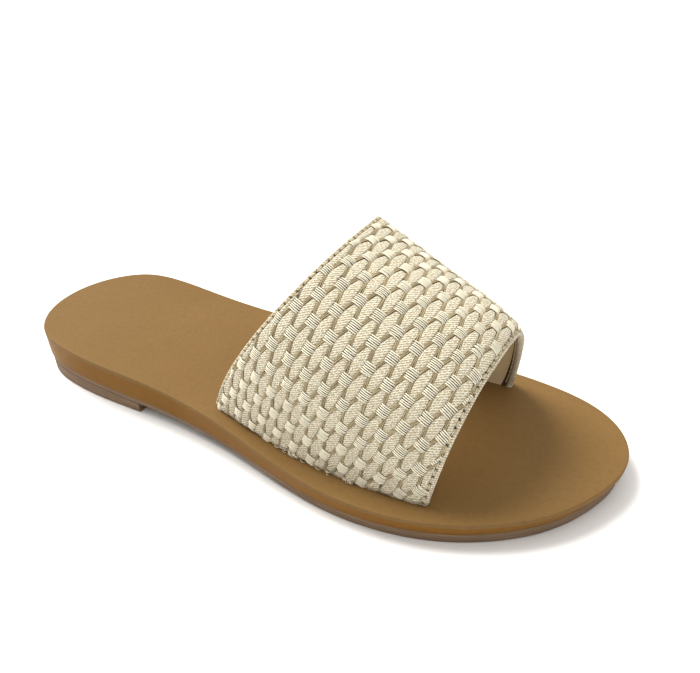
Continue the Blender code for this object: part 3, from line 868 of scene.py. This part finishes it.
def layYarns(name, spots, runs, outs, lengths, material, sizes):
    # a point cloud mesh becomes yarns through the tree, then a plain mesh piece;
    # sizes has the tree's inputs by their names in small letters
    mesh = bpy.data.meshes.new(name + "_spots")
    mesh.from_pydata(toMetres(spots).tolist(), [], [])
    for key, kind, data in (("runDir", "FLOAT_VECTOR", runs), ("outDir", "FLOAT_VECTOR", outs),
                            ("runLength", "FLOAT", np.asarray(lengths) * mm)):
        layer = mesh.attributes.new(key, kind, "POINT")
        field = "vector" if kind == "FLOAT_VECTOR" else "value"
        layer.data.foreach_set(field, np.asarray(data, dtype=np.float32).reshape(-1))
    guide = addObject(name + "_spots", mesh)
    nodes = guide.modifiers.new("yarns", "NODES")
    nodes.node_group = yarnTree
    for item in yarnTree.interface.items_tree:
        key = item.name.lower()
        if item.in_out == "INPUT" and key in sizes:
            nodes[item.identifier] = sizes[key] * (mm if key in ("spacing", "radius", "crown") else 1)
        if item.in_out == "INPUT" and key == "material":
            nodes[item.identifier] = material
    bpy.context.view_layer.update()
    ready = guide.evaluated_get(bpy.context.evaluated_depsgraph_get())
    made = bpy.data.meshes.new_from_object(ready, preserve_all_data_layers=True,
                                           depsgraph=bpy.context.evaluated_depsgraph_get())
    bpy.data.objects.remove(guide, do_unlink=True)
    piece = addObject(name, made)
    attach(piece, "root")
    print(name, len(made.polygons))


def yarnMaterial(name, color, deep, spreadTone):
    material, tree, shader = newMaterial(name, 0.85, sheen=0.1, specular=0.25)
    place = put(tree, "ShaderNodeTexCoord").outputs["Object"]
    fibre = put(tree, "ShaderNodeTexNoise", {"Vector": place, "Scale": 2600.0, "Detail": 3.0})
    # darker in the dips of the fibre bump, as painted shade, and a random tone for each yarn
    fibreDipShade = ramp(tree, fibre.outputs["Fac"], 0.68, 0.32)
    tone = calc(tree, "MULTIPLY", attribute(tree, "yarnTone"), spreadTone)
    mixed = calc(tree, "ADD", tone, calc(tree, "MULTIPLY", fibreDipShade, 0.16), clamp=True)
    tree.links.new(mixColor(tree, mixed, color, deep), shader.inputs["Base Color"])
    bump(tree, shader, fibre.outputs["Fac"], 0.00006, 0.6)
    return material


def stripBars(beyond):
    # (strip, place) of every bar whose middle is between the stitch lines, or a little beyond them
    spots = []
    for strip in range(-10, 16):
        for n in range(-5, 11):
            flat = weave["phase"] + (n - (0.5 if strip % 2 else 0.0)) * weave["period"]
            place = flat
            for again in range(4):
                place = float(flat + leanOf(strip, place))
            u = float(shareOf(strip, place))
            clear = -beyond * weave["pitch"] / bandWidth(place)
            if stitchShare("back", place) + clear < u < stitchShare("front", place) - clear:
                if abs(place) < halfArch(u) - 1.0:
                    spots.append((strip, place))
    return spots


bars = {
    "yarns": 6, "spacing": 0.69, "radius": 0.235, "crown": 0.88, "flatness": 3.4,
    "jitter": 0.045, "segments": 9, "seed": 4,
    "sink": -0.58, "reach": 1.16,  # the yarns' ends go down into the grooves
    "beyond": 0.3, "hemGap": 0.35,
}


def buildBars():
    strip, place = np.array(stripBars(bars["beyond"])).T
    margin = bars["hemGap"] / bandWidth(place)
    low = np.maximum(shareOf(strip - 0.5, place), stitchShare("back", place) + margin)
    high = np.minimum(shareOf(strip + 0.5, place), stitchShare("front", place) - margin)
    start, _ = onBand(low, place, bars["sink"])
    end, _ = onBand(high, place, bars["sink"])
    _, out = onBand((low + high) / 2, place)
    length = np.linalg.norm(end - start, axis=1) * bars["reach"]
    layYarns("weave_bars", (start + end) / 2, unit(end - start), out, length,
             yarnMaterial("bar_yarn", cotton["bar"], cotton["puffDeep"], 0.10), bars)


strands = {
    "yarns": 2, "spacing": 0.46, "radius": 0.21, "crown": 0.26, "flatness": 2.0,
    "twist": 0.06, "jitter": 0.06, "segments": 7, "seed": 9,
    "sink": -0.10, "beyond": 1.0,
    "from": 1.4, "to": 6.1,  # mm along the strip from a bar's middle
    "near": 0.42, "far": 0.72,  # strip widths to the front
}


def buildStrands():
    # from each bar's two front corners a pair of strands leans to the bars of the next strip
    rows = [(*spot, turn) for spot in stripBars(strands["beyond"]) for turn in (-1, 1)]
    strip, place, turn = np.array(rows).T
    nearPlace, farPlace = place + turn * strands["from"], place + turn * strands["to"]
    near, far = shareOf(strip + strands["near"], nearPlace), shareOf(strip + strands["far"], farPlace)
    keep = (far < stitchShare("front", farPlace)) & (near > stitchShare("back", nearPlace))
    keep = keep & (np.abs(farPlace) < halfArch(far) - 0.5)
    start, _ = onBand(near[keep], nearPlace[keep], strands["sink"])
    end, _ = onBand(far[keep], farPlace[keep], strands["sink"])
    _, out = onBand((near + far)[keep] / 2, (nearPlace + farPlace)[keep] / 2)
    # the strands' random darker tone is the colour of the painted groove shade
    layYarns("groove_strands", (start + end) / 2, unit(end - start), out,
             np.linalg.norm(end - start, axis=1),
             yarnMaterial("strand_yarn", cotton["strand"], cotton["groove"], 0.35), strands)


lining = {
    "margin": 0.042, "seam": 0.034,  # shares of the width
    "thick": 0.45, "wrinkle": 0.10, "footDepth": 0.8,
    "color": (0.830, 0.730, 0.530), "deep": (0.740, 0.620, 0.420),
    "pebble": 1300.0, "cloud": 40.0, "depth": 0.00005, "roughness": 0.42, "shine": 0.4,
}


def buildStitches():
    # the topstitch outside, and the row inside that holds the fold to the lining
    rows = []
    for side in ("back", "front"):
        for inside in (False, True):
            for n in range(-40, 40):
                place = (n + 0.5) * stitch["pitch"]
                u = float(stitchShare(side, place))
                lift, face = stitch["sink"], 1
                if inside:
                    u = lining["seam"] if side == "back" else 1 - lining["seam"]
                    lift, face = -band["wall"] - hem["foldSink"], -1
                if abs(place) < halfArch(u) - 1.5:
                    rows.append((u, place, lift, face))
    line, place, lift, face = np.array(rows).T
    start, _ = onBand(line, place - stitch["halfStep"], lift)
    end, _ = onBand(line, place + stitch["halfStep"], lift)
    _, out = onBand(line, place)
    layYarns("topstitch", (start + end) / 2, unit(end - start), out * face[:, None],
             np.full(len(line), stitch["length"]),
             yarnMaterial("stitch_thread", cotton["thread"], cotton["puffDeep"], 0.3), stitch)


fray = {
    "count": 30, "from": 0.36, "to": 0.72, "short": 1.0, "long": 2.8, "radius": 0.09, "crown": 0.5,
    "yarns": 1, "spacing": 0.0, "flatness": 2.0, "jitter": 0.3, "segments": 7, "seed": 6,
    "lift": 0.75, "wild": 0.25,
}


def buildFray():
    # a few loose fibres where the outer end of the band meets the footbed
    chance = np.random.default_rng(12)
    u = chance.uniform(fray["from"], fray["to"], fray["count"])
    place = -halfArch(u) + chance.uniform(0.6, 2.2, fray["count"])
    spot, out = onBand(u, place, fray["lift"])
    near, _ = onBand(u - 0.01, place)
    far, _ = onBand(u + 0.01, place)
    run = unit(far - near)
    run = run + chance.normal(0, fray["wild"], run.shape)
    run = run - out * (run * out).sum(1)[:, None]
    length = chance.uniform(fray["short"], fray["long"], fray["count"])
    layYarns("loose_fibres", spot, unit(run), out, length,
             yarnMaterial("fibre", cotton["bar"], cotton["puff"], 0.3), fray)


buildBars()
buildStrands()
buildStitches()
buildFray()


# the smooth lining on the inner face, with its own seam beside the folded cloth

def liningMaterial():
    material, tree, shader = newMaterial("smooth_lining", lining["roughness"], specular=lining["shine"])
    place = put(tree, "ShaderNodeTexCoord").outputs["Object"]
    grain = groupNode(tree, hideGrain,
                      {"Vector": place, "Pebble": lining["pebble"], "Cloud": lining["cloud"]})
    factor = calc(tree, "MULTIPLY", grain.outputs["Clouds"], 0.5)
    tree.links.new(mixColor(tree, factor, lining["color"], lining["deep"]), shader.inputs["Base Color"])
    bump(tree, shader, grain.outputs["Height"], lining["depth"], 0.5)
    return material


def buildLining():
    shares = np.linspace(-1, 1, 181)
    widths = np.linspace(lining["margin"], 1 - lining["margin"], 61)
    loops = [(u, -band["wall"] - 0.02) for u in widths]
    loops += [(u, -band["wall"] + lining["thick"]) for u in widths[::-1]]
    u, lift = np.array(loops).T
    place = halfArch(u)[:, None] * shares[None, :]
    uu = np.repeat(u[:, None], len(shares), axis=1)
    soft = lining["wrinkle"] * waver(uu, place, 11.0, 14.0) * (lift[:, None] < -band["wall"])
    spots, _ = onBand(uu, place, lift[:, None] + soft)
    spots[:, 0, 2] -= lining["footDepth"]
    spots[:, -1, 2] -= lining["footDepth"]
    piece = meshPiece("band_lining", spots.reshape(-1, 3), wallFaces(*spots.shape[:2]), smoothAngle=50)
    piece.data.materials.append(liningMaterial())
    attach(piece, "root")


buildLining()
print("band made")


# camera at the photo's place over the shoe, pale floor and soft studio light

view = {
    "camera": (259.0, -189.1, 168.2), "target": (117.9, 54.2, 0.0), "roll": math.radians(-1.066),
    "lens": 690.8 / 700 * 36,
}
studio = {
    "floor": (0.90, 0.90, 0.90), "zenith": (1.0, 0.99, 0.97), "horizon": (0.06, 0.06, 0.065),
    "backdrop": (0.93, 0.93, 0.92), "worldStrength": 1.0,
    "sun": 2.65, "sunAngle": 30.0, "sunFrom": (-0.66, 0.08, 0.92), "sunColor": (1.0, 0.985, 0.96),
    "fill": 0.2, "fillAngle": 60.0, "fillFrom": (0.55, -0.75, 0.75), "fillColor": (1.0, 1.0, 1.0),
    "exposure": 0.22, "gamma": 0.86,
}


def buildCamera():
    data = bpy.data.cameras.new("photo_camera")
    data.sensor_width = 36
    data.lens = view["lens"]
    data.clip_start = 0.01
    camera = addObject("photo_camera", data)
    place = Vector(toMetres(view["camera"]))
    gaze = (Vector(toMetres(view["target"])) - place).normalized()
    turn = gaze.to_track_quat("-Z", "Y").to_matrix().to_4x4()
    camera.matrix_world = Matrix.Translation(place) @ turn @ Matrix.Rotation(view["roll"], 4, "Z")
    bpy.context.scene.camera = camera


def sunLight(name, key):
    data = bpy.data.lights.new(name, "SUN")
    data.energy = studio[key]
    data.angle = math.radians(studio[key + "Angle"])
    data.color = studio[key + "Color"]
    source = Vector(studio[key + "From"])
    addObject(name, data).rotation_euler = source.to_track_quat("Z", "Y").to_euler()


def buildStudio():
    bpy.ops.mesh.primitive_plane_add(size=12, location=(0.08, 0, 0))
    floor = bpy.context.object
    floor.name = "studio_floor"
    material, tree, shader = newMaterial("pale_floor", 0.85, specular=0.05)
    shader.inputs["Base Color"].default_value = (*studio["floor"], 1)
    floor.data.materials.append(material)

    # a dim horizon and a bright ceiling, so that the light comes from above, behind a pale backdrop
    world = bpy.data.worlds.new("studio_world")
    world.use_nodes = True
    tree = world.node_tree
    sky = tree.nodes["Background"]
    direction = put(tree, "ShaderNodeTexCoord").outputs["Generated"]
    height = put(tree, "ShaderNodeSeparateXYZ", {0: direction}).outputs[2]
    tint = mixColor(tree, ramp(tree, height, 0.05, 0.75), studio["horizon"], studio["zenith"])
    seen = put(tree, "ShaderNodeLightPath").outputs["Is Camera Ray"]
    tree.links.new(mixColor(tree, seen, tint, studio["backdrop"]), sky.inputs["Color"])
    sky.inputs["Strength"].default_value = studio["worldStrength"]
    bpy.context.scene.world = world
    sunLight("key_light", "sun")
    sunLight("front_fill", "fill")


buildCamera()
buildStudio()
bpy.context.scene.view_settings.view_transform = "Standard"
bpy.context.scene.view_settings.exposure = studio["exposure"]
bpy.context.scene.view_settings.gamma = studio["gamma"]
print("studio made")
